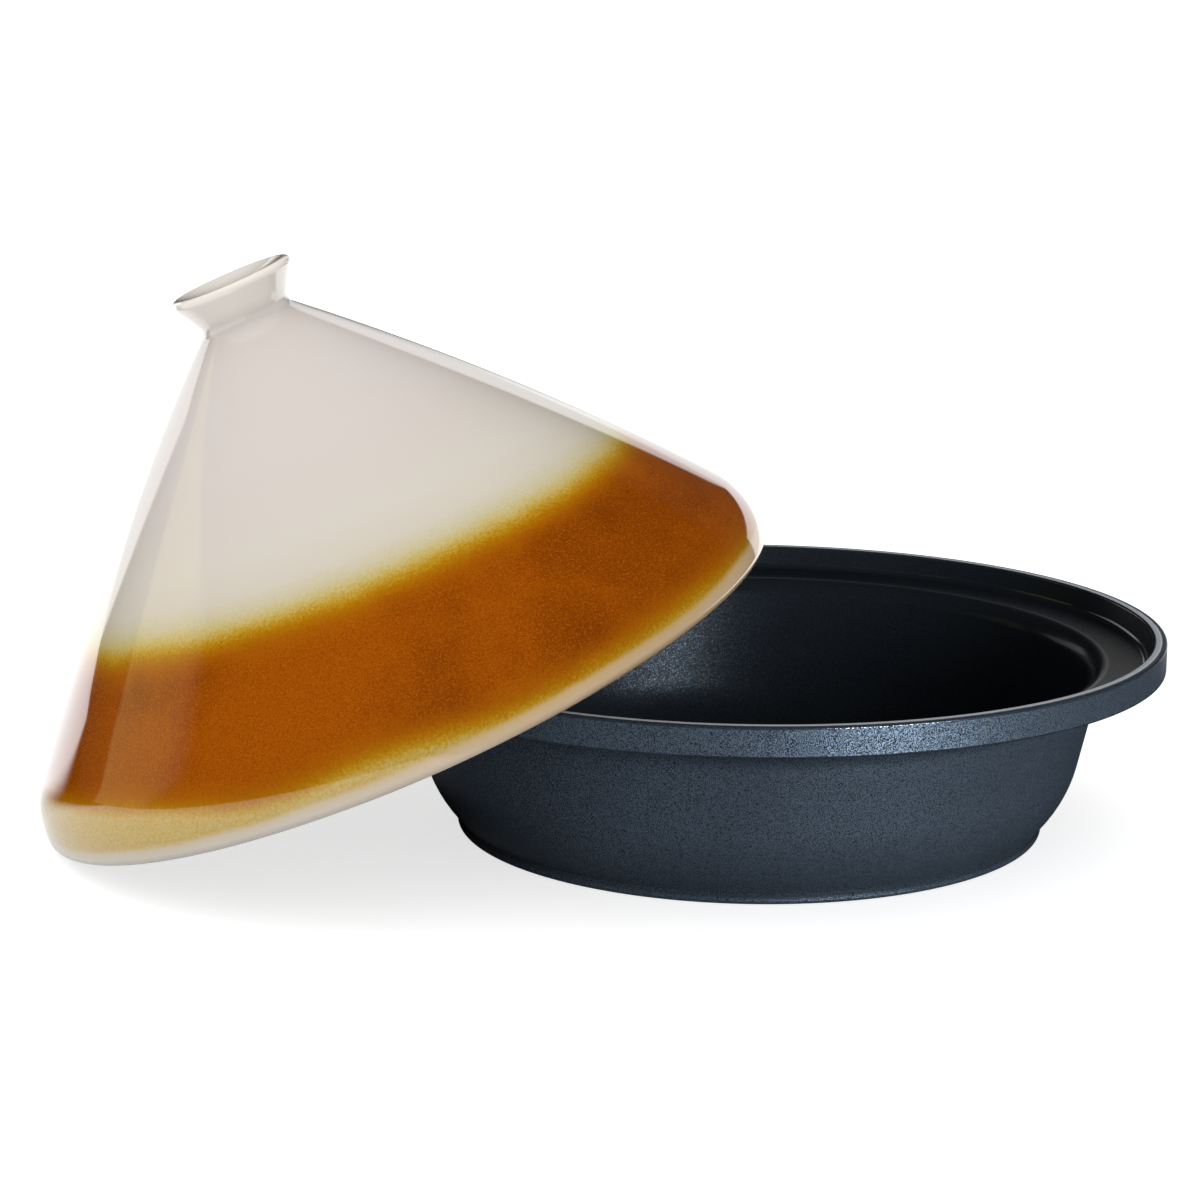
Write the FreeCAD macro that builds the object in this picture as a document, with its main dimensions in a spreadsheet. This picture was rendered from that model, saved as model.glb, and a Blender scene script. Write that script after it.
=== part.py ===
import FreeCAD, Part
import math
import os
import Sketcher

# A tagine: a cast aluminium base and a tall cone of glazed stoneware as its lid.
# The base stands on its foot with its axis upright, and its foot is centred on the origin.
# The lid is off and leans on the base: its lip stands on the surface on the -X side
# and rests on the rim of the base at two points.
# All sizes are in millimetres.

# Driving sizes of the base
BASE_SIZES = [
    ("rim_radius", 150.0),          # outside of the rim band
    ("pot_height", 73.0),           # standing surface to the top of the rim
    ("rim_width", 4.5),             # flat top of the rim, outside to inside
    ("rim_rounding", 0.8),          # both edges of the flat top
    ("band_height", 10.4),          # upright outer face of the rim
    ("band_rounding", 0.6),         # lower edge of that face
    ("flange_reach", 22.6),         # wall to the outside of the rim
    ("flange_depth", 12.7),         # rim top to the root of the flange
    ("flange_fillet", 12.0),        # wall running out into the flange
    ("wall_thickness", 3.6),        # measured level
    ("wall_lean", 10.2),            # how far the wall comes in down to its bend
    ("bend_radius", 46.0),
    ("toe_rise", 11.8),             # top of the foot to the bend of the wall
    ("foot_inset", 20.2),           # wall to the side of the foot
    ("foot_height", 4.2),
    ("foot_rounding", 1.2),
    ("floor_thickness", 5.5),
    ("step_depth", 8.2),            # rim top down to the outer edge of the lid's seat
    ("step_draft", 2.3),            # how far the step comes in on its way down
    ("step_fillet", 2.2),
    ("seat_fall", 1.5),             # the seat drains towards the well
    ("mouth_rounding", 8.0),        # edge of the seat rolling over into the well
    ("well_bend_lift", 2.0),        # bend inside the well above the bend outside
    ("well_bend_radius", 36.0),
    ("toe_thickness", 4.2),         # side of the foot to the floor of the well
    ("well_corner", 10.0),
    ("first_ring", 30.0),           # smallest of the turned rings under the foot
    ("ring_spacing", 14.0),
    ("ring_groove", 0.7),           # half width and depth of each ring
]

# Driving sizes of the lid, and of the way it leans
LID_SIZES = [
    ("lid_clearance", 2.8),         # lip of the lid to the step of the base, lid on
    ("lip_thickness", 6.6),         # also the wall of the cone
    ("shoulder_radius", 33.0),
    ("cone_crown", 1065.0),         # the slightly swollen side of the cone
    ("neck_radius", 16.4),          # narrowest place, under the knob
    ("neck_height", 145.4),
    ("neck_fillet", 3.2),
    ("knob_radius", 22.6),
    ("knob_height", 13.7),          # narrowest place to the top
    ("knob_rounding", 2.1),
    ("dish_depth", 3.4),            # hollow in the top of the knob
    ("ceiling_radius", 12.0),       # rounded top of the hollow inside the cone
    ("lean_reach", 126.4),          # axis of the base to the middle of the lid's mouth
    ("lean_gap", 0.3),              # between the lip and the rim that carries it
]

RING_COUNT = 5

# Places that several features share, worked out from the driving sizes
WALL_TOP = "(sizes.rim_radius - sizes.flange_reach)"
WALL_BEND = "({} - sizes.wall_lean)".format(WALL_TOP)
BEND_HEIGHT = "(sizes.foot_height + sizes.toe_rise)"
FOOT_RADIUS = "({} - sizes.foot_inset)".format(WALL_TOP)
SEAT_RADIUS = "(sizes.rim_radius - sizes.rim_width - sizes.step_draft)"
SEAT_HEIGHT = "(sizes.pot_height - sizes.step_depth)"
LID_RADIUS = "({} - sizes.lid_clearance)".format(SEAT_RADIUS)
KNOB_TOP = "(sizes.neck_height + sizes.knob_height)"

# The base's half section, corner by corner from the middle of its underside:
# radius, height, and the size that rounds the corner where it has one
BASE_CORNERS = [
    ("0", "0", None),
    (FOOT_RADIUS, "0", "foot_rounding"),
    (FOOT_RADIUS, "sizes.foot_height", None),
    (WALL_BEND, BEND_HEIGHT, "bend_radius"),
    (WALL_TOP, "sizes.pot_height - sizes.flange_depth", "flange_fillet"),
    ("sizes.rim_radius", "sizes.pot_height - sizes.band_height", "band_rounding"),
    ("sizes.rim_radius", "sizes.pot_height", "rim_rounding"),
    ("sizes.rim_radius - sizes.rim_width", "sizes.pot_height", "rim_rounding"),
    (SEAT_RADIUS, SEAT_HEIGHT, "step_fillet"),
    (WALL_TOP + " - sizes.wall_thickness", SEAT_HEIGHT + " - sizes.seat_fall", "mouth_rounding"),
    (WALL_BEND + " - sizes.wall_thickness", BEND_HEIGHT + " + sizes.well_bend_lift", "well_bend_radius"),
    (FOOT_RADIUS + " - sizes.toe_thickness", "sizes.floor_thickness", "well_corner"),
    ("0", "sizes.floor_thickness", None),
]

# How a sketch names its own origin and axes, and the ends of a line or an arc
ORIGIN_POINT = -1
LEVEL_AXIS = -1
UPRIGHT_AXIS = -2
START, END, CENTRE = range(1, 4)


def make_sheet(doc):
    """The driving sizes, one named cell each."""
    sheet = doc.addObject("Spreadsheet::Sheet", "sizes")
    for row, (name, value) in enumerate(BASE_SIZES + LID_SIZES, 1):
        sheet.set("A{}".format(row), name)
        sheet.set("B{}".format(row), str(value))
        sheet.setAlias("B{}".format(row), name)
    doc.recompute()
    return sheet


def value_of(thing, expression):
    """The number that an expression on the driving sizes gives."""
    return float(thing.evalExpression(expression))


def upright_sketch(body, name):
    """A sketch on the body's XZ plane: across is the radius, up is the height."""
    sketch = body.newObject("Sketcher::SketchObject", name)
    plane = next(item for item in body.Origin.OriginFeatures if item.Role == "XZ_Plane")
    sketch.AttachmentSupport = [(plane, "")]
    sketch.MapMode = "FlatFace"
    return sketch


def bind(sketch, kind, targets, expression):
    """A dimension of the sketch that follows the driving sizes."""
    index = sketch.addConstraint(Sketcher.Constraint(kind, *targets, value_of(sketch, expression)))
    sketch.setExpression("Constraints[{}]".format(index), expression)


def pin_point(sketch, geometry, end, across, up):
    """Holds one point of the sketch at a radius and a height."""
    if across == "0":
        sketch.addConstraint(Sketcher.Constraint("PointOnObject", geometry, end, UPRIGHT_AXIS))
    else:
        bind(sketch, "DistanceX", (ORIGIN_POINT, START, geometry, end), across)
    if up == "0":
        sketch.addConstraint(Sketcher.Constraint("PointOnObject", geometry, end, LEVEL_AXIS))
    else:
        bind(sketch, "DistanceY", (ORIGIN_POINT, START, geometry, end), up)


def point(across, up):
    return FreeCAD.Vector(across, up, 0)


def toward(start, end, distance):
    """The point at this distance from start, on the way to end."""
    return start + (end - start).normalize() * distance


def arc(centre, start, end):
    """An arc of a circle, anticlockwise from one point to another."""
    circle = Part.Circle(centre, FreeCAD.Vector(0, 0, 1), centre.distanceToPoint(start))
    angles = []
    for place in (start, end):
        angles.append(math.atan2(place.y - centre.y, place.x - centre.x))
    return Part.ArcOfCircle(circle, *angles)


def turn(body, sketch, kind, name):
    """One full turn of the sketch about the upright axis."""
    turned = body.newObject(kind, name)
    turned.Profile = sketch
    turned.ReferenceAxis = (sketch, ["V_Axis"])
    turned.Angle = 360
    body.Document.recompute()
    return turned


def rounded_corner(before, corner, after, radius):
    """Where a rounding leaves the side before a corner, where it meets the side
    after it, and its centre."""
    back = (before - corner).normalize()
    forth = (after - corner).normalize()
    half_angle = back.getAngle(forth) / 2
    setback = radius / math.tan(half_angle)
    middle = (back + forth).normalize() * (radius / math.sin(half_angle))
    return corner + back * setback, corner + forth * setback, corner + middle


def draw_corner(sketch, side_in, side_out, sharp, ends, centre, corner):
    """The rounding between two sides: an arc that touches both. The sharp corner
    stays as a construction point and carries the dimensions."""
    across, up, rounding = corner
    leave, arrive = ends
    turns_left = (leave - centre).cross(arrive - centre).z > 0
    if turns_left:
        curve, first, last = sketch.addGeometry(arc(centre, leave, arrive), False), START, END
    else:
        curve, first, last = sketch.addGeometry(arc(centre, arrive, leave), False), END, START
    sketch.addConstraint(Sketcher.Constraint("Tangent", side_in, END, curve, first))
    sketch.addConstraint(Sketcher.Constraint("Tangent", curve, last, side_out, START))
    bind(sketch, "Radius", (curve,), "sizes." + rounding)
    mark = sketch.addGeometry(Part.Point(sharp), True)
    sketch.addConstraint(Sketcher.Constraint("PointOnObject", mark, START, side_in))
    sketch.addConstraint(Sketcher.Constraint("PointOnObject", mark, START, side_out))
    pin_point(sketch, mark, START, across, up)


def draw_section(sketch, corners):
    """A closed section of straight sides, anticlockwise, with rounded corners."""
    count = len(corners)
    places = []
    for across, up, rounding in corners:
        places.append(point(value_of(sketch, across), value_of(sketch, up)))
    leaves = []
    arrives = []
    centres = []
    for index, (across, up, rounding) in enumerate(corners):
        here = places[index]
        leave, arrive, centre = here, here, None
        if rounding:
            radius = value_of(sketch, "sizes." + rounding)
            following = places[(index + 1) % count]
            leave, arrive, centre = rounded_corner(places[index - 1], here, following, radius)
        leaves.append(leave)
        arrives.append(arrive)
        centres.append(centre)
    for index in range(count):
        side = Part.LineSegment(arrives[index], leaves[(index + 1) % count])
        sketch.addGeometry(side, False)
    for index, corner in enumerate(corners):
        across, up, rounding = corner
        side_in = (index - 1) % count
        if rounding:
            ends = (leaves[index], arrives[index])
            draw_corner(sketch, side_in, index, places[index], ends, centres[index], corner)
        else:
            sketch.addConstraint(Sketcher.Constraint("Coincident", side_in, END, index, START))
            pin_point(sketch, index, START, across, up)


def make_base(doc):
    """The base, turned from its half section, with rings under its foot."""
    body = doc.addObject("PartDesign::Body", "base")
    body.Label = "base"
    section = upright_sketch(body, "base_section")
    draw_section(section, BASE_CORNERS)
    casting = turn(body, section, "PartDesign::Revolution", "base_casting")
    rings = upright_sketch(body, "ring_section")
    for ring in range(RING_COUNT):
        across = "sizes.first_ring + {} * sizes.ring_spacing".format(ring)
        middle = point(value_of(rings, across), 0)
        radius = value_of(rings, "sizes.ring_groove")
        rings.addGeometry(Part.Circle(middle, FreeCAD.Vector(0, 0, 1), radius), False)
        pin_point(rings, ring, CENTRE, across, "0")
        bind(rings, "Radius", (ring,), "sizes.ring_groove")
    grooved = turn(body, rings, "PartDesign::Groove", "foot_rings")
    if grooved.Shape.Volume >= casting.Shape.Volume:
        raise RuntimeError("the rings under the foot cut nothing")
    return body


def centre_at(first, first_distance, second, second_distance):
    """The point at these distances from two others, on the left on the way from
    the first to the second."""
    span = second - first
    reach = span.Length
    along = (first_distance ** 2 - second_distance ** 2 + reach ** 2) / (2 * reach)
    aside = math.sqrt(first_distance ** 2 - along ** 2)
    forward = span.normalize()
    return first + forward * along + point(-forward.y, forward.x) * aside


def lid_curves(sheet, outside, top):
    """The lid's half section, a chain of curves that touch where they meet. The lip
    is a half circle. The shoulder leaves it upright, the swollen side leaves the
    shoulder and runs into the hollow of the neck, and a straight flare leads from
    there to the rounded rim of the knob and its dished top. Inside, the side and
    the shoulder share their centres with the outside, so the wall is as thick as
    the lip, and a round ceiling closes the hollow."""
    wall = sheet.lip_thickness
    half = wall / 2
    crown = sheet.cone_crown
    fillet = sheet.neck_fillet
    rim = sheet.knob_rounding
    bottom = top - sheet.dish_depth
    lip_centre = point(outside - half, half)
    shoulder_centre = point(outside - sheet.shoulder_radius, half)
    neck_centre = point(sheet.neck_radius + fillet, sheet.neck_height)
    rim_centre = point(sheet.knob_radius - rim, top - rim)
    crown_centre = centre_at(
        shoulder_centre, crown - sheet.shoulder_radius, neck_centre, crown + fillet
    )
    # The ceiling touches the side of the hollow from within
    ceiling_reach = crown - wall - sheet.ceiling_radius
    ceiling_rise = math.sqrt(ceiling_reach ** 2 - crown_centre.x ** 2)
    ceiling_centre = point(0, crown_centre.y + ceiling_rise)
    # The dish touches the rim's circle from outside and is lowest on the axis
    drop = rim_centre.y - bottom + rim
    dish_radius = (rim_centre.x ** 2 + drop ** 2) / (2 * drop) - rim
    dish_centre = point(0, bottom + dish_radius)
    # The flare touches the neck's circle and the rim's on opposite sides
    span = neck_centre - rim_centre
    swing = math.acos((fillet + rim) / span.Length) + math.atan2(span.y, span.x)
    outward = point(math.cos(swing), math.sin(swing))

    lip_inside = point(outside - wall, half)
    lip_outside = point(outside, half)
    shoulder_end = toward(crown_centre, shoulder_centre, crown)
    side_end = toward(crown_centre, neck_centre, crown)
    flare_start = neck_centre - outward * fillet
    flare_end = rim_centre + outward * rim
    dish_end = toward(rim_centre, dish_centre, rim)
    dish_bottom = point(0, bottom)
    ceiling_top = point(0, ceiling_centre.y + sheet.ceiling_radius)
    hollow_end = toward(crown_centre, ceiling_centre, crown - wall)
    hollow_turn = toward(crown_centre, shoulder_centre, crown - wall)
    return {
        "lip": arc(lip_centre, lip_inside, lip_outside),
        "shoulder": arc(shoulder_centre, lip_outside, shoulder_end),
        "side": arc(crown_centre, shoulder_end, side_end),
        "neck": arc(neck_centre, flare_start, side_end),
        "flare": Part.LineSegment(flare_start, flare_end),
        "rim": arc(rim_centre, flare_end, dish_end),
        "dish": arc(dish_centre, dish_bottom, dish_end),
        "axis": Part.LineSegment(dish_bottom, ceiling_top),
        "ceiling": arc(ceiling_centre, hollow_end, ceiling_top),
        "hollow_side": arc(crown_centre, hollow_turn, hollow_end),
        "hollow_shoulder": arc(shoulder_centre, lip_inside, hollow_turn),
    }


def make_lid(doc, sheet):
    """The lid, turned from its half section."""
    body = doc.addObject("PartDesign::Body", "lid")
    body.Label = "lid"
    sketch = upright_sketch(body, "lid_section")
    curves = lid_curves(sheet, value_of(sketch, LID_RADIUS), value_of(sketch, KNOB_TOP))
    at = {}
    for name, curve in curves.items():
        at[name] = sketch.addGeometry(curve, False)
    for kind, one, one_end, other, other_end in (
        ("Tangent", "lip", END, "shoulder", START),
        ("Tangent", "shoulder", END, "side", START),
        ("Tangent", "side", END, "neck", END),
        ("Tangent", "neck", START, "flare", START),
        ("Tangent", "flare", END, "rim", START),
        ("Tangent", "rim", END, "dish", END),
        ("Coincident", "dish", START, "axis", START),
        ("Coincident", "axis", END, "ceiling", END),
        ("Tangent", "ceiling", START, "hollow_side", END),
        ("Tangent", "hollow_side", START, "hollow_shoulder", END),
        ("Coincident", "hollow_shoulder", START, "lip", START),
        ("Coincident", "hollow_shoulder", CENTRE, "shoulder", CENTRE),
        ("Coincident", "hollow_side", CENTRE, "side", CENTRE),
        ("Horizontal", "lip", START, "lip", CENTRE),
        ("Horizontal", "lip", END, "lip", CENTRE),
    ):
        sketch.addConstraint(Sketcher.Constraint(kind, at[one], one_end, at[other], other_end))
    for name, end in (("dish", CENTRE), ("ceiling", CENTRE), ("axis", END)):
        sketch.addConstraint(Sketcher.Constraint("PointOnObject", at[name], end, UPRIGHT_AXIS))
    for name, radius in (
        ("lip", "sizes.lip_thickness / 2"),
        ("shoulder", "sizes.shoulder_radius"),
        ("side", "sizes.cone_crown"),
        ("neck", "sizes.neck_fillet"),
        ("rim", "sizes.knob_rounding"),
        ("ceiling", "sizes.ceiling_radius"),
    ):
        bind(sketch, "Radius", (at[name],), radius)
    for name, end, across, up in (
        ("lip", END, LID_RADIUS, "sizes.lip_thickness / 2"),
        ("neck", CENTRE, "sizes.neck_radius + sizes.neck_fillet", "sizes.neck_height"),
        ("rim", CENTRE, "sizes.knob_radius - sizes.knob_rounding", KNOB_TOP + " - sizes.knob_rounding"),
        ("axis", START, "0", KNOB_TOP + " - sizes.dish_depth"),
    ):
        pin_point(sketch, at[name], end, across, up)
    turn(body, sketch, "PartDesign::Revolution", "lid_body")
    return body


def lip_height(lip_circle, half, tilt):
    """Height of the middle of the lip's circle while its lowest point stands on the
    surface."""
    return half + lip_circle * math.sin(tilt)


def nearest_to_rim(sheet, lip_circle, half, tilt):
    """Smallest distance between the circle in the middle of the lid's lip and the
    circle in the middle of the rounding on the outer edge of the rim. The walk
    round the lip is half a turn, since the other half is its mirror image."""
    rim_circle = sheet.rim_radius - sheet.rim_rounding
    rim_height = sheet.pot_height - sheet.rim_rounding
    steps = 1440
    nearest = math.inf
    for step in range(steps + 1):
        turned = math.pi * step / steps
        across = lip_circle * math.cos(turned)
        x = across * math.cos(tilt) - sheet.lean_reach
        y = lip_circle * math.sin(turned)
        z = across * math.sin(tilt) + lip_height(lip_circle, half, tilt)
        nearest = min(nearest, math.hypot(math.hypot(x, y) - rim_circle, z - rim_height))
    return nearest


def leaning_place(sheet, body):
    """Where the lid comes to rest: one side of its lip on the surface, and the lip
    against the rim of the base. The steeper it leans, the further its lip is from
    the rim, so the tilt is halved in on from a steep one."""
    half = sheet.lip_thickness / 2
    lip_circle = value_of(body, LID_RADIUS) - half
    wanted = half + sheet.rim_rounding + sheet.lean_gap
    degree = math.radians(1)
    shallow = 60 * degree
    while nearest_to_rim(sheet, lip_circle, half, shallow) > wanted:
        shallow = shallow - degree
    steep = shallow + degree
    while steep - shallow > 1e-8:
        tilt = (steep + shallow) / 2
        if nearest_to_rim(sheet, lip_circle, half, tilt) > wanted:
            steep = tilt
        else:
            shallow = tilt
    # The lid's own zero lies half a lip below the middle of the lip's circle
    place = FreeCAD.Vector(
        half * math.sin(steep) - sheet.lean_reach,
        0,
        lip_height(lip_circle, half, steep) - half * math.cos(steep),
    )
    lean = FreeCAD.Rotation(FreeCAD.Vector(0, 1, 0), -math.degrees(steep))
    return FreeCAD.Placement(place, lean)


def check(doc, bodies):
    """Stops if anything in the document failed or a piece isn't one sound solid."""
    for thing in doc.Objects:
        if "Invalid" in thing.State or "Error" in thing.State:
            raise RuntimeError("{} failed: {}".format(thing.Name, thing.State))
    for body in bodies:
        if body.Shape.isNull() or not body.Shape.isValid() or len(body.Shape.Solids) != 1:
            raise RuntimeError("{} is not one sound solid".format(body.Label))


def main():
    doc = FreeCAD.newDocument("tagine")
    sheet = make_sheet(doc)
    base = make_base(doc)
    lid = make_lid(doc, sheet)
    lid.Placement = leaning_place(sheet, lid)
    doc.recompute()
    bodies = [base, lid]
    check(doc, bodies)
    os.makedirs("parts", exist_ok=True)
    for body in bodies:
        body.Shape.exportStep(os.path.join("parts", body.Label + ".step"))
        print(body.Label, "holds {:.0f} cubic mm".format(body.Shape.Volume))


main()
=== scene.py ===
import math

import bpy
import numpy as np
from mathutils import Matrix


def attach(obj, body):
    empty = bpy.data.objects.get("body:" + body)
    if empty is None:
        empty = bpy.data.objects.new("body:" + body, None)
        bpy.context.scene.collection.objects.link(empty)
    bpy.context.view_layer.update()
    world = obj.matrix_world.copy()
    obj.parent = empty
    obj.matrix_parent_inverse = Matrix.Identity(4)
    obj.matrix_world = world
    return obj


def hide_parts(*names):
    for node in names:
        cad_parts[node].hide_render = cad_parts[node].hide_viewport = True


# A tagine: a dark coated cast base, and its glazed stoneware lid leaning on the rim.
# Sizes of the two pieces are in millimetres and are turned into metres as a mesh is made.

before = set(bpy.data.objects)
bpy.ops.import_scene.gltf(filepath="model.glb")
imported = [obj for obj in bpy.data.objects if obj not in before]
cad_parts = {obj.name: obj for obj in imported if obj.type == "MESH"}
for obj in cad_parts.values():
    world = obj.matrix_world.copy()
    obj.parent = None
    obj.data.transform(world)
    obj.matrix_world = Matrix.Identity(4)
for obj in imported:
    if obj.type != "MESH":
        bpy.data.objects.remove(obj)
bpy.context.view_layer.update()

MM = 0.001

# The base's half section: radius, height, rounding of the corner
FLOOR_OF_WELL = 5.5
BASE_CORNERS = [
    (107.2, 0, 1.2),
    (107.2, 4.2, 0),
    (117.2, 16.0, 46),
    (127.4, 60.3, 12),
    (150, 62.6, 0.6),
    (150, 73, 0.8),
    (145.5, 73, 0.8),
    (143.2, 64.8, 2.2),
    (123.8, 63.3, 8),
    (113.6, 18, 36),
    (103, FLOOR_OF_WELL, 10),
]

# The rings turned in the base's underside
RING_RADII = (30, 44, 58, 72, 86)
RING_GROOVE = 0.7

# The lid's half section
LID_RADIUS = 140.4
LIP = 6.6
SHOULDER = 33.0
CROWN = 1065.0
NECK_RADIUS = 16.4
NECK_HEIGHT = 145.4
NECK_FILLET = 3.2
KNOB_RADIUS = 22.6
KNOB_TOP = 159.1
KNOB_ROUNDING = 2.1
DISH_DEPTH = 3.4
CEILING_RADIUS = 12.0

# How the lid leans: its own zero beside the base's, and its tilt about the Y axis
LID_PLACE = (-125.113, 0, 53.7455)
LID_TILT = math.radians(22.9613)

# How fine the surfaces are: steps round the axis, steps along arcs in degrees, the
# longest step along the base's arcs and runs, how near to its ends a run is cut, and
# the angle from which an edge shows sharp
SEGMENTS = 288
ARC_STEP = 6
RING_STEP = 30
LIP_STEP = 9
SHOULDER_STEP = 4
DISH_STEP = 4
CROWN_STEP = 0.2
LONGEST_ARC = 3.5
LONGEST_RUN = 4.0
RUN_MARGIN = 0.25
SHARP_ANGLE = math.radians(35)

# What marks the base for its finish: how many points its outline takes over the rim
# before the inside starts, and the height up to which its bends don't count
POINTS_OVER_RIM = 12
UNDERSIDE = 1

# Where the glaze changes, as the way up the lid's outside from the lip
LIP_WARMS = (4, 9)
LIP_ENDS = (7, 9.5)
AMBER_FOOT = 11.5
AMBER_TOP = 69
CREAM_COOLS = (95, 150)
KNOB_STARTS = (192, 204)
DISH_STARTS = (226, 235)

# The studio, in metres and degrees
FLOOR_REACH = 12
FLOOR_EDGE_BLUR = 0.03
LAMP_AIM = (-0.06, 0, 0.05)
CAMERA_PLACE = (-0.150494, -1.143114, 0.332627)
CAMERA_TURN = (77.7105, -0.3356, -4.6825)
CAMERA_RANGE = 100
FOCAL_LENGTH_MM = 96.987


# Shapes

def arc(centre, radius, start, end, step=ARC_STEP):
    """Points on a circle from one angle to another, both in radians, a few degrees apart."""
    count = max(2, math.ceil(abs(math.degrees(end - start)) / step) + 1)
    angles = np.linspace(start, end, count)
    return np.stack([centre[0] + radius * np.cos(angles), centre[1] + radius * np.sin(angles)], 1)


def rounding(before, corner, after, radius):
    """The arc that touches both sides of a corner: its centre lies on the corner's
    bisector, radius over the sine of half the corner's angle away."""
    before, corner, after = (np.array(place, float) for place in (before, corner, after))
    back = (before - corner) / np.linalg.norm(before - corner)
    forth = (after - corner) / np.linalg.norm(after - corner)
    half = math.acos(back @ forth) / 2
    middle = (back + forth) / np.linalg.norm(back + forth)
    centre = corner + middle * radius / math.sin(half)
    setback = radius / math.tan(half)
    start = corner + back * setback - centre
    end = corner + forth * setback - centre
    first = math.atan2(start[1], start[0])
    swing = math.atan2(start[0] * end[1] - start[1] * end[0], start @ end)
    return arc(centre, radius, first, first + swing, min(ARC_STEP, math.degrees(LONGEST_ARC / radius)))


def with_runs(points):
    """The same outline with points added on its straight runs: one close to each end,
    which keeps the shading of the roundings off the runs, and the rest evenly."""
    outline = [points[:1]]
    for start, end in zip(points[:-1], points[1:]):
        length = np.linalg.norm(end - start)
        if length > LONGEST_RUN:
            inner = np.linspace(RUN_MARGIN, length - RUN_MARGIN, math.ceil(length / LONGEST_RUN) + 1)
            outline.append(start + (end - start) * (inner / length)[:, None])
        outline.append(end[None])
    return np.concatenate(outline)


def base_outline():
    """The base's half section, from the middle of the underside outwards, up the
    outside, over the rim and down the inside to the middle of the well."""
    points = [np.array([[0.0, 0.0]])]
    for radius in RING_RADII:
        points.append(arc((radius, 0), RING_GROOVE, math.pi, 0, RING_STEP))
    corners = [(0, 0, 0)] + BASE_CORNERS + [(0, FLOOR_OF_WELL, 0)]
    for before, corner, after in zip(corners, corners[1:], corners[2:]):
        if corner[2]:
            points.append(rounding(before[:2], corner[:2], after[:2], corner[2]))
        else:
            points.append(np.array([corner[:2]], float))
    points.append(np.array([[0.0, FLOOR_OF_WELL]]))
    return with_runs(np.concatenate(points))


def centre_at(first, first_distance, second, second_distance):
    """The point at these distances from two others, on the left on the way from the
    first to the second."""
    span = second - first
    reach = np.linalg.norm(span)
    along = (first_distance ** 2 - second_distance ** 2 + reach ** 2) / (2 * reach)
    aside = math.sqrt(first_distance ** 2 - along ** 2)
    forward = span / reach
    return first + forward * along + np.array([-forward[1], forward[0]]) * aside


def bearing(centre, place):
    """The angle in radians at which a place lies, seen from a centre."""
    return math.atan2(place[1] - centre[1], place[0] - centre[0])


def lid_outline():
    """The lid's half section, from the top of the hollow down the inside, round the
    lip, up the shoulder and the swollen side to the neck, and over the knob's rim to
    the middle of its dish. Neighbouring arcs touch. Returns the points and, for each,
    the way along the outline from the lowest point of the lip, negative inside."""
    half = LIP / 2
    lip_centre = (LID_RADIUS - half, half)
    shoulder_centre = np.array([LID_RADIUS - SHOULDER, half])
    neck_centre = np.array([NECK_RADIUS + NECK_FILLET, NECK_HEIGHT])
    rim_centre = np.array([KNOB_RADIUS - KNOB_ROUNDING, KNOB_TOP - KNOB_ROUNDING])
    crown_centre = centre_at(shoulder_centre, CROWN - SHOULDER, neck_centre, CROWN + NECK_FILLET)
    reach = CROWN - LIP - CEILING_RADIUS
    ceiling_height = crown_centre[1] + math.sqrt(reach ** 2 - crown_centre[0] ** 2)
    ceiling_centre = np.array([0, ceiling_height])
    drop = rim_centre[1] - (KNOB_TOP - DISH_DEPTH) + KNOB_ROUNDING
    dish = (rim_centre[0] ** 2 + drop ** 2) / (2 * drop) - KNOB_ROUNDING
    dish_centre = np.array([0, KNOB_TOP - DISH_DEPTH + dish])
    span = neck_centre - rim_centre
    flare = math.acos((NECK_FILLET + KNOB_ROUNDING) / np.linalg.norm(span))
    outward = flare + math.atan2(span[1], span[0])
    turn = bearing(crown_centre, shoulder_centre)
    top = bearing(crown_centre, neck_centre)
    ceiling_turn = bearing(crown_centre, ceiling_centre)
    rim_turn = bearing(rim_centre, dish_centre)
    inside = np.concatenate([
        arc(ceiling_centre, CEILING_RADIUS, math.pi / 2, ceiling_turn),
        arc(crown_centre, CROWN - LIP, ceiling_turn, turn, CROWN_STEP)[1:],
        arc(shoulder_centre, SHOULDER - LIP, turn, 0, SHOULDER_STEP)[1:],
        arc(lip_centre, half, math.pi, 1.5 * math.pi, LIP_STEP)[1:],
    ])
    outside = np.concatenate([
        arc(lip_centre, half, 1.5 * math.pi, 2 * math.pi, LIP_STEP)[1:],
        arc(shoulder_centre, SHOULDER, 0, turn, SHOULDER_STEP)[1:],
        arc(crown_centre, CROWN, turn, top, CROWN_STEP)[1:],
        arc(neck_centre, NECK_FILLET, top + math.pi, outward + math.pi)[1:],
        arc(rim_centre, KNOB_ROUNDING, outward, rim_turn),
        arc(dish_centre, dish, rim_turn - math.pi, -math.pi / 2, DISH_STEP)[1:],
    ])
    inside[0, 0] = 0
    outside[-1, 0] = 0
    points = np.concatenate([inside, outside])
    lengths = np.concatenate([[0], np.cumsum(np.linalg.norm(np.diff(points, axis=0), axis=1))])
    return points, lengths - lengths[len(inside) - 1]


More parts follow.
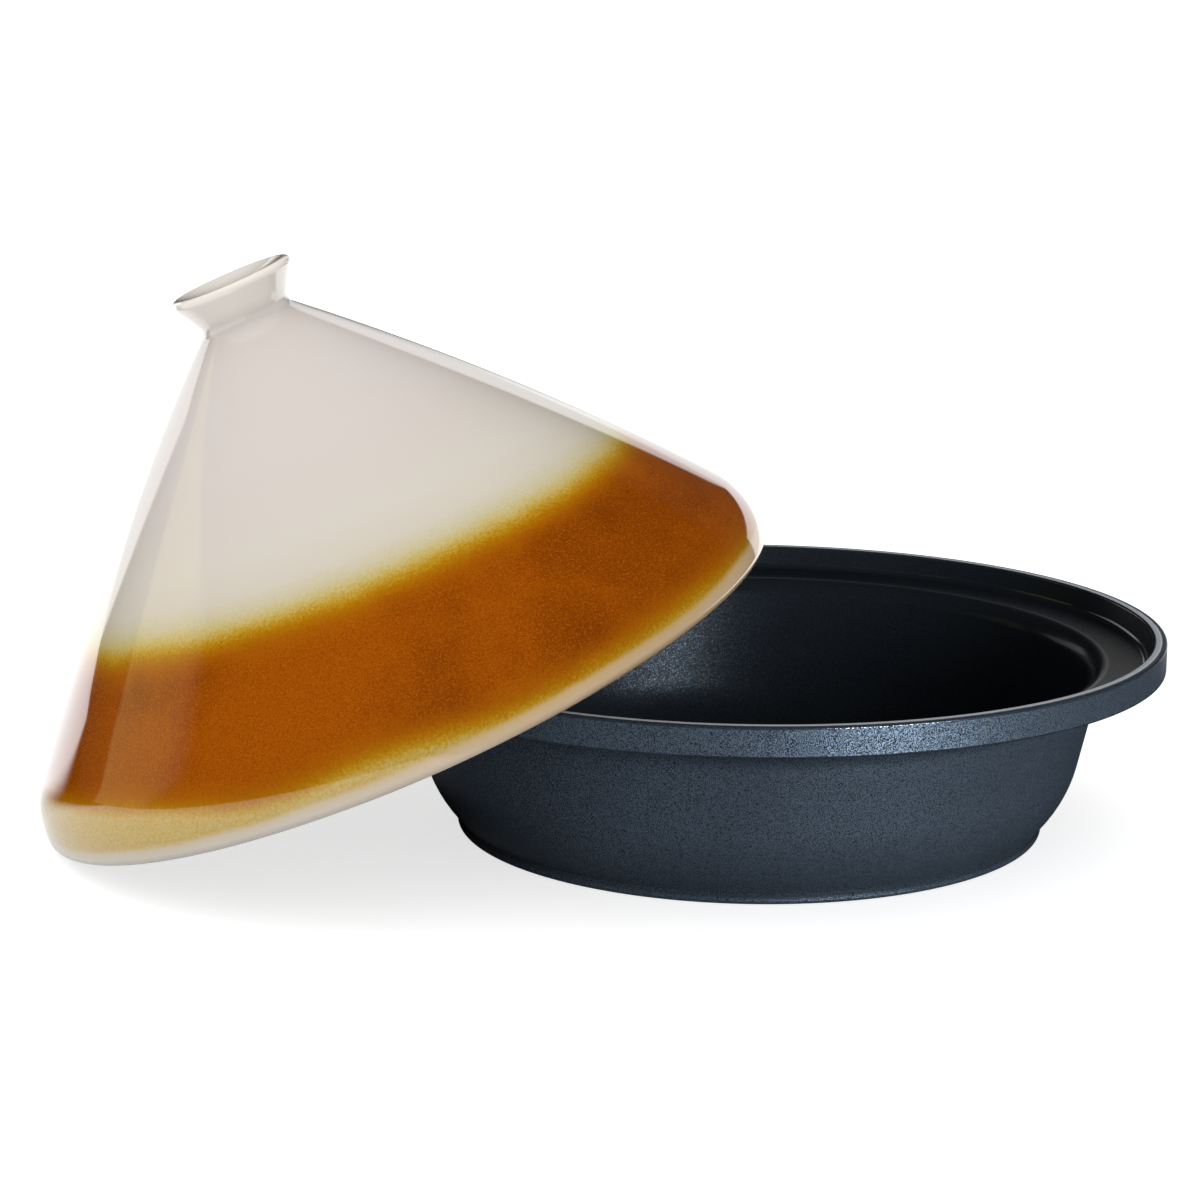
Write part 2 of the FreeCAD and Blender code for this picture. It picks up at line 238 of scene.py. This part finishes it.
def turned(name, outline):
    """A surface of revolution. A point of the outline at radius r and height z becomes
    a ring of points (r cos a, r sin a, z) for evenly spaced angles a. The outline's two
    ends lie on the axis and close the surface, each with a fan of triangles."""
    angles = np.arange(SEGMENTS) * 2 * math.pi / SEGMENTS
    radius, height = outline[1:-1, 0], outline[1:-1, 1]
    rings = np.stack([
        radius[:, None] * np.cos(angles),
        radius[:, None] * np.sin(angles),
        np.repeat(height[:, None], SEGMENTS, 1),
    ], 2)
    poles = np.array([[0, 0, outline[0, 1]], [0, 0, outline[-1, 1]]])
    places = np.concatenate([rings.reshape(-1, 3), poles])
    first_pole = len(radius) * SEGMENTS
    last_ring = first_pole - SEGMENTS
    here = np.arange(SEGMENTS)
    beside = (here + 1) % SEGMENTS
    row = np.arange(len(radius) - 1)[:, None] * SEGMENTS
    quads = np.stack([row + here, row + beside, row + SEGMENTS + beside, row + SEGMENTS + here], 2)
    first_fan = np.stack([np.full(SEGMENTS, first_pole), beside, here], 1)
    last_fan = np.stack([np.full(SEGMENTS, first_pole + 1), last_ring + here, last_ring + beside], 1)
    corners = np.concatenate([quads.ravel(), first_fan.ravel(), last_fan.ravel()])
    sizes = np.concatenate([np.full(len(quads) * SEGMENTS, 4), np.full(2 * SEGMENTS, 3)])
    mesh = bpy.data.meshes.new(name)
    mesh.vertices.add(len(places))
    mesh.vertices.foreach_set("co", (places * MM).ravel())
    mesh.loops.add(len(corners))
    mesh.loops.foreach_set("vertex_index", corners.astype(np.int32))
    mesh.polygons.add(len(sizes))
    mesh.polygons.foreach_set("loop_start", (np.cumsum(sizes) - sizes).astype(np.int32))
    mesh.update(calc_edges=True)
    mesh.validate()
    mesh.polygons.foreach_set("use_smooth", np.ones(len(sizes), bool))
    mesh.set_sharp_from_angle(angle=SHARP_ANGLE)
    piece = bpy.data.objects.new(name, mesh)
    bpy.context.scene.collection.objects.link(piece)
    return piece


def lean(piece):
    """Moves a piece from the lid's own upright frame to its place: every point is turned
    by the tilt about the Y axis and then shifted."""
    mesh = piece.data
    places = np.zeros(len(mesh.vertices) * 3)
    mesh.vertices.foreach_get("co", places)
    x, y, z = places.reshape(-1, 3).T
    cosine, sine = math.cos(LID_TILT), math.sin(LID_TILT)
    leaning = np.stack([x * cosine - z * sine, y, x * sine + z * cosine], 1)
    mesh.vertices.foreach_set("co", (leaning + np.array(LID_PLACE) * MM).ravel())
    mesh.update()


def sharpness(outline):
    """How sharply the outline bends at each point: one over its radius in millimetres."""
    steps = np.diff(outline, axis=0)
    lengths = np.linalg.norm(steps, axis=1)
    aside = steps[:-1, 0] * steps[1:, 1] - steps[:-1, 1] * steps[1:, 0]
    turns = np.abs(np.arctan2(aside, (steps[:-1] * steps[1:]).sum(1)))
    return np.concatenate([[0], 2 * turns / (lengths[:-1] + lengths[1:]), [0]])


def mark(piece, name, values):
    """Keeps one number for each vertex, which a finish can read. The values run along
    the outline, and each is repeated round its ring."""
    spread = np.concatenate([np.repeat(values[1:-1], SEGMENTS), values[:1], values[-1:]])
    layer = piece.data.attributes.new(name, "FLOAT", "POINT")
    layer.data.foreach_set("value", spread.astype(np.float32))


# Finishes

def toward(azimuth, elevation):
    """The direction at an azimuth and an elevation in degrees."""
    turn, rise = math.radians(azimuth), math.radians(elevation)
    return np.array([math.cos(turn) * math.cos(rise), math.sin(turn) * math.cos(rise), math.sin(rise)])


def tone(red, green, blue):
    """A colour as it shows on a screen, 0 to 255, made linear for the shader."""
    shares = np.array([red, green, blue]) / 255
    linear = np.where(shares <= 0.04045, shares / 12.92, ((shares + 0.055) / 1.055) ** 2.4)
    return (*linear.tolist(), 1.0)


class Amount:
    """A number, colour or vector that varies over a surface. Sums and products of
    numbers add the Math nodes that work them out."""

    def __init__(self, finish, socket):
        self.finish = finish
        self.socket = socket

    def math(self, operation, *terms):
        return self.finish.add("ShaderNodeMath", {"operation": operation}, dict(enumerate(terms)))

    def __add__(self, other):
        return self.math("ADD", self, other)

    __radd__ = __add__

    def __sub__(self, other):
        return self.math("SUBTRACT", self, other)

    def __rsub__(self, other):
        return self.math("SUBTRACT", other, self)

    def __mul__(self, other):
        return self.math("MULTIPLY", self, other)

    __rmul__ = __mul__

    def __truediv__(self, other):
        return self.math("DIVIDE", self, other)

    def least(self, other):
        return self.math("MINIMUM", self, other)

    def most(self, other):
        return self.math("MAXIMUM", self, other)


class Finish:
    """The nodes of one material, or of the world."""

    def __init__(self, owner):
        owner.use_nodes = True
        self.owner = owner
        self.tree = owner.node_tree
        self.tree.nodes.clear()

    def add(self, kind, settings, inputs, output=0):
        """A node of this kind, its settings first and then its inputs, which are numbers,
        colours or other nodes' outputs. Returns one of its outputs, if it has any."""
        node = self.tree.nodes.new(kind)
        for name, value in settings.items():
            if name == "stops":
                self.set_stops(node.color_ramp, value)
            else:
                setattr(node, name, value)
        for name, value in inputs.items():
            if isinstance(value, Amount):
                self.tree.links.new(value.socket, node.inputs[name])
            else:
                node.inputs[name].default_value = value
        return Amount(self, node.outputs[output]) if node.outputs else None

    def set_stops(self, ramp, stops):
        while len(ramp.elements) < len(stops):
            ramp.elements.new(1.0)
        for element, (place, colour) in zip(ramp.elements, stops):
            element.position = place
            element.color = colour

    def place(self):
        """Where on the piece: its own coordinates, in metres."""
        return self.add("ShaderNodeTexCoord", {}, {}, "Object")

    def marked(self, name):
        """The number that the vertices keep under this name."""
        return self.add("ShaderNodeAttribute", {"attribute_name": name}, {}, "Fac")

    def rays(self):
        """1 for the camera's own rays, for reflected ones and for ones through glass."""
        names = ("Is Camera Ray", "Is Glossy Ray", "Is Transmission Ray")
        return [self.add("ShaderNodeLightPath", {}, {}, name) for name in names]

    def vector(self, operation, inputs, output=0):
        return self.add("ShaderNodeVectorMath", {"operation": operation}, dict(enumerate(inputs)), output)

    def along(self, place, direction):
        """How far a place lies along a direction."""
        return self.vector("DOT_PRODUCT", [place, list(direction)], 1)

    def mix(self, share, one, other):
        """Share 0 gives the first colour, share 1 the other."""
        settings = {"data_type": "RGBA"}
        return self.add("ShaderNodeMix", settings, {0: share, 6: one, 7: other}, 2)

    def noise(self, place, scale, detail=2.0, roughness=0.5):
        """Clouds of which about as many as the scale fit side by side in a metre."""
        inputs = {"Vector": place, "Scale": scale, "Detail": detail, "Roughness": roughness}
        return self.add("ShaderNodeTexNoise", {}, inputs)

    def band(self, value, low, high):
        """0 below low, 1 above high, and smooth between them."""
        settings = {"interpolation_type": "SMOOTHSTEP"}
        return self.add("ShaderNodeMapRange", settings, {0: value, 1: low, 2: high})

    def ramp(self, value, low, high, stops):
        """A colour that follows a value, through stops given at values of it."""
        share = (value - low) / (high - low)
        placed = [((place - low) / (high - low), colour) for place, colour in stops]
        return self.add("ShaderNodeValToRGB", {"stops": placed}, {0: share})

    def bump(self, strength, distance, height):
        """A surface that rises and falls with the height, by the distance at most."""
        inputs = {"Strength": strength, "Distance": distance, "Height": height}
        return self.add("ShaderNodeBump", {}, inputs)

    def surface(self, **inputs):
        """The usual shader as the material's surface. An input's name has underscores
        for its spaces. Returns the material."""
        inputs = {name.replace("_", " "): value for name, value in inputs.items()}
        shader = self.add("ShaderNodeBsdfPrincipled", {}, inputs)
        self.add("ShaderNodeOutputMaterial", {}, {"Surface": shader})
        return self.owner


def glazed_stoneware():
    """Glossy reactive glaze: cream at the top, then a grainy ochre fringe, a wide band
    of amber brown, ochre again, and a pale lip where the glaze breaks. The way up from
    the lip in millimetres and the way round the axis place the zones."""
    finish = Finish(bpy.data.materials.new("glazed_stoneware"))
    own = finish.add("ShaderNodeMapping", {"vector_type": "TEXTURE"}, {
        "Vector": finish.place(),
        "Location": [place * MM for place in LID_PLACE],
        "Rotation": (0, -LID_TILT, 0),
    })
    up = finish.marked("from_lip")
    outward = finish.vector("NORMALIZE", [finish.vector("MULTIPLY", [own, (1, 1, 0)])])
    clouds = finish.noise(own, 14, 3)
    blots = finish.noise(own, 60, 3, 0.6)
    grain = finish.noise(own, 1100, 2, 0.7)
    fine = finish.noise(own, 1700, 1, 0.8)

    def facing(azimuth):
        """1 on the side of the lid at this azimuth and -1 on the side opposite."""
        return finish.along(outward, toward(azimuth, 0))

    def patch(azimuth, reach, height, radius):
        """A soft round patch, 1 in its middle and 0 from its radius on, all in mm."""
        middle = toward(azimuth, 0) * reach + np.array([0, 0, height])
        away = finish.vector("DISTANCE", [own, list(middle * MM)], 1)
        return 1 - finish.band(away + 0.012 * (blots - 0.5), 0, radius * MM)

    # How many millimetres inside the amber band a place is, with grainy borders
    uneven = 3.5 * (clouds - 0.5) + 2.5 * (blots - 0.5)
    upper = AMBER_TOP + 5 * facing(-170) + uneven
    lower = AMBER_FOOT + 14 * finish.band(facing(-160), 0.5, 1.05) + uneven + 5 * patch(-96, 136, 19, 52)
    ripe = (upper - up).least((1.15 * (up - lower)).most(-4.5)) + 8 * (grain - 0.5)
    glaze = finish.ramp(ripe, -30, 14, [
        (-30, tone(219, 211, 200)),
        (-17, tone(215, 206, 190)),
        (-10.5, tone(207, 196, 160)),
        (-6.5, tone(201, 181, 112)),
        (-3, tone(190, 149, 38)),
        (0, tone(174, 114, 5)),
        (4, tone(166, 90, 3)),
        (11, tone(157, 76, 1)),
    ])
    cooler_cream = tone(220, 211, 205)
    glaze = finish.mix(finish.band(up, *CREAM_COOLS), glaze, cooler_cream)

    # Deeper brown at the left end and in clouds, a painted dark reflection in two patches on the front
    # right, and fine specks
    deep_brown, light_speck, dark_speck = tone(104, 38, 0), tone(184, 108, 14), tone(122, 50, 0)
    deep = 0.6 * finish.band(facing(180), 0.74, 1.0)
    # The two patches on the front right are a painted dark reflection, not a change in the glaze.
    deep = deep.most(0.6 * patch(-60, 136, 20, 34)).most(0.65 * patch(-40, 117, 43, 30))
    deep = deep.most(0.5 * finish.band(clouds + 0.3 * blots, 0.62, 0.85))
    amber = finish.band(ripe, 0, 10)
    glaze = finish.mix(amber * deep, glaze, deep_brown)
    glaze = finish.mix(amber * finish.band(fine, 0.5, 0.7) * 0.5, glaze, light_speck)
    glaze = finish.mix(amber * finish.band(fine, 0.5, 0.3) * 0.5, glaze, dark_speck)

    # The lip, warmer away from its edge and towards the right
    bare = up + 2 * (blots - 0.5) - 2.5 * finish.band(facing(0), 0.75, 1.0)
    right = finish.band(facing(-40), 0.3, 1.0)
    pale = finish.mix(right, tone(212, 203, 190), tone(216, 188, 152))
    warm = finish.mix(right, tone(206, 187, 150), tone(208, 175, 122))
    lip = finish.mix(finish.band(bare, *LIP_WARMS), pale, warm)
    glaze = finish.mix(1 - finish.band(bare, *LIP_ENDS), glaze, lip)

    # The knob's cream is painted lighter to make up for the shade on its downward-facing side.
    knob_cream_painted_lighter, dish_painted_shade = tone(247, 240, 231), tone(168, 156, 147)
    glaze = finish.mix(finish.band(up, *KNOB_STARTS), glaze, knob_cream_painted_lighter)
    # The dish's darker grey is painted shade, standing in for the shade and dark reflection in its
    # hollow.
    glaze = finish.mix(finish.band(up, *DISH_STARTS), glaze, dish_painted_shade)
    ripple = finish.bump(0.25, 0.0006, finish.noise(own, 30, 2))
    return finish.surface(
        Base_Color=glaze,
        Roughness=0.08,
        IOR=1.5,
        Coat_Weight=1.0,
        Coat_Roughness=0.03,
        Normal=ripple,
    )


def coated_casting():
    """Dark satin coating with fine metallic flakes, over a sprayed grain. It is smoother
    and holds fewer flakes in the well, and is glossier on sharp edges. Where the piece
    is marked, it is bright bare metal, a painted highlight line along the rim's top."""
    finish = Finish(bpy.data.materials.new("coated_casting"))
    where = finish.place()
    inside = finish.marked("inside")
    edge = finish.band(finish.marked("bend"), 0.06, 0.3)
    # Bright bare metal along the rim's top edge: a painted highlight line.
    worn = finish.band(finish.marked("worn"), 0.25, 0.6)
    clouds = finish.noise(where, 25, 3)
    grain = finish.noise(where, 2800, 1, 0.6)
    flakes = finish.band(grain - 0.09 * inside, 0.42, 0.64)
    shown = flakes * (1 - 0.76 * inside) * (1 - 0.4 * edge)
    flake_grey, painted_highlight_metal = tone(56, 66, 77), tone(206, 209, 213)
    coat = finish.mix(clouds, tone(5, 6, 8), tone(7, 9, 11))
    coat = finish.mix(shown, coat, flake_grey)
    coat = finish.mix(worn, coat, painted_highlight_metal)
    spray = finish.bump(0.2, 0.0001, finish.noise(where, 1500, 2))
    return finish.surface(
        Base_Color=coat,
        Roughness=(0.4 - 0.06 * inside - 0.2 * edge).most(0.16),
        Metallic=flakes.most(worn),
        IOR=1.38,
        Specular_IOR_Level=0.07,
        Specular_Tint=(0.25, 0.28, 0.32, 1),
        Coat_Weight=0.8 * edge * inside,
        Coat_Roughness=0.1,
        Normal=spray,
    )


# The object

outline = base_outline()
base = turned("base_casting", outline)
order = np.arange(len(outline))
rim = outline[:, 1].argmax()
mark(base, "inside", (order > rim + POINTS_OVER_RIM).astype(float))
mark(base, "bend", sharpness(outline) * (outline[:, 1] > UNDERSIDE))
# The rim's top edge is marked for bright bare metal, a painted highlight line.
mark(base, "worn", (order == rim + 1).astype(float))
base.data.materials.append(coated_casting())
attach(base, "root")
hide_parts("base")

outline, from_lip = lid_outline()
lid = turned("lid_cone", outline)
mark(lid, "from_lip", from_lip)
lean(lid)
lid.data.materials.append(glazed_stoneware())
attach(lid, "root")
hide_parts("lid")


# The studio

def floor():
    """A wide plain floor. The camera sees it filled up to white, so that only the
    shadows show. Reflections see it white behind the object, light grey further left
    and right, and dark in a gap close behind it and to its right."""
    mesh = bpy.data.meshes.new("floor")
    square = [(-1, -1), (1, -1), (1, 1), (-1, 1)]
    mesh.from_pydata([(x * FLOOR_REACH, y * FLOOR_REACH, 0) for x, y in square], [], [(0, 1, 2, 3)])
    plane = bpy.data.objects.new("floor", mesh)
    bpy.context.scene.collection.objects.link(plane)
    finish = Finish(bpy.data.materials.new("pale_floor"))
    seen, glossy, through = finish.rays()
    where = finish.place()

    def beyond(across, along, offset):
        """1 on the far side of a line on the floor, which lies this far from the middle
        in the direction given."""
        side = finish.along(where, (across, along, 0))
        return finish.band(side, offset - FLOOR_EDGE_BLUR, offset + FLOOR_EDGE_BLUR)

    lit = beyond(0.72, 0.69, -0.18) * beyond(0, 1, 0.2).most(beyond(-1, 0, 0.15))
    gap = beyond(0.39, 0.92, -0.08).most(0.95 * beyond(1, 0, -0.05)) * (1 - lit)
    mirrored = 0.3 + lit * (1 - 0.48 * beyond(1, 0, 0.1)) * (1 - 0.5 * beyond(-1, 0, 0.15))
    matt = finish.add("ShaderNodeBsdfDiffuse", {}, {"Color": (0.55, 0.55, 0.55, 1)})
    fill = finish.add("ShaderNodeEmission", {}, {
        "Color": (1, 1, 1, 1),
        "Strength": 0.7 * seen + glossy.most(through) * mirrored,
    })
    pale = finish.add("ShaderNodeAddShader", {}, {0: matt, 1: fill})
    dark = finish.add("ShaderNodeEmission", {}, {"Strength": 0.0})
    surface = finish.add("ShaderNodeMixShader", {}, {0: gap * glossy, 1: pale, 2: dark})
    finish.add("ShaderNodeOutputMaterial", {}, {"Surface": surface})
    mesh.materials.append(finish.owner)


def room():
    """The world. The camera sees it white, and diffuse light finds it soft and a little
    brighter from the upper left in front. Reflections see a dark room with two white
    panels behind the object, one at the left and one at the right, and a warm card
    beyond the left one."""
    world = bpy.data.worlds.new("studio")
    bpy.context.scene.world = world
    finish = Finish(world)
    seen, glossy, through = finish.rays()
    direction = finish.add("ShaderNodeTexCoord", {}, {}, "Generated")

    def beyond(azimuth, elevation, other_azimuth, other_elevation, blur=0.01):
        """1 on one side of the plane through the object and two directions: the lower
        side, where the first direction is the more to the left."""
        across = np.cross(toward(azimuth, elevation), toward(other_azimuth, other_elevation))
        side = finish.along(direction, across / np.linalg.norm(across))
        return finish.band(side, -blur, blur)

    def left_of(azimuth, **blur):
        return beyond(azimuth, 30, azimuth, 0, **blur)

    def right_of(azimuth, **blur):
        return beyond(azimuth, 0, azimuth, 30, **blur)

    low = beyond(150, 40, 60, 42)
    left = beyond(124, -4, 137, 11) * left_of(106, blur=0.08) * beyond(140, 15, 100, 15)
    foot = beyond(70, 10, 50, 10) * left_of(50)
    right = (0.75 * beyond(74, 32, 70, 0)).most(foot) * right_of(83, blur=0.08)
    card = right_of(173, blur=0.09) * left_of(150) * beyond(178, 27, 148, 27)
    mirrored = 0.005 + low * (0.012 + 1.05 * left + 1.0 * right) + 0.4 * card
    level = 0.95 + 0.4 * finish.along(direction, toward(-145, 35))
    plain = 1 - seen.most(glossy).most(through)
    light = finish.add("ShaderNodeBackground", {}, {
        "Color": finish.mix(card * glossy, (1, 1, 1, 1), (1, 0.85, 0.35, 1)),
        "Strength": seen.most(glossy.most(through) * mirrored) + level * plain,
    })
    finish.add("ShaderNodeOutputWorld", {}, {"Surface": light})


def softbox(name, azimuth, elevation, distance, width, height, power):
    """A square-cornered lamp that faces the object from an azimuth and an elevation."""
    lamp = bpy.data.lights.new(name, "AREA")
    lamp.shape = "RECTANGLE"
    lamp.size = width
    lamp.size_y = height
    lamp.energy = power
    holder = bpy.data.objects.new(name, lamp)
    bpy.context.scene.collection.objects.link(holder)
    holder.location = np.array(LAMP_AIM) + toward(azimuth, elevation) * distance
    holder.rotation_euler = (math.radians(90 - elevation), 0, math.radians(azimuth + 90))
    return holder


def light_only(lamp, piece):
    """Keeps a lamp's light to one piece, because on the glaze it would be a streak."""
    receivers = bpy.data.collections.new("lit_by_" + lamp.name)
    receivers.objects.link(piece)
    lamp.light_linking.receiver_collection = receivers


def viewpoint():
    """The photograph's viewpoint, with a long lens."""
    lens = bpy.data.cameras.new("viewpoint")
    lens.lens = FOCAL_LENGTH_MM
    lens.clip_end = CAMERA_RANGE
    holder = bpy.data.objects.new("viewpoint", lens)
    bpy.context.scene.collection.objects.link(holder)
    holder.location = CAMERA_PLACE
    holder.rotation_euler = [math.radians(turn) for turn in CAMERA_TURN]
    bpy.context.scene.camera = holder


viewpoint()
floor()
room()
front = softbox("front", azimuth=-60, elevation=10, distance=1.5, width=0.7, height=0.6, power=150)
light_only(front, base)
bpy.context.scene.view_settings.view_transform = "Standard"
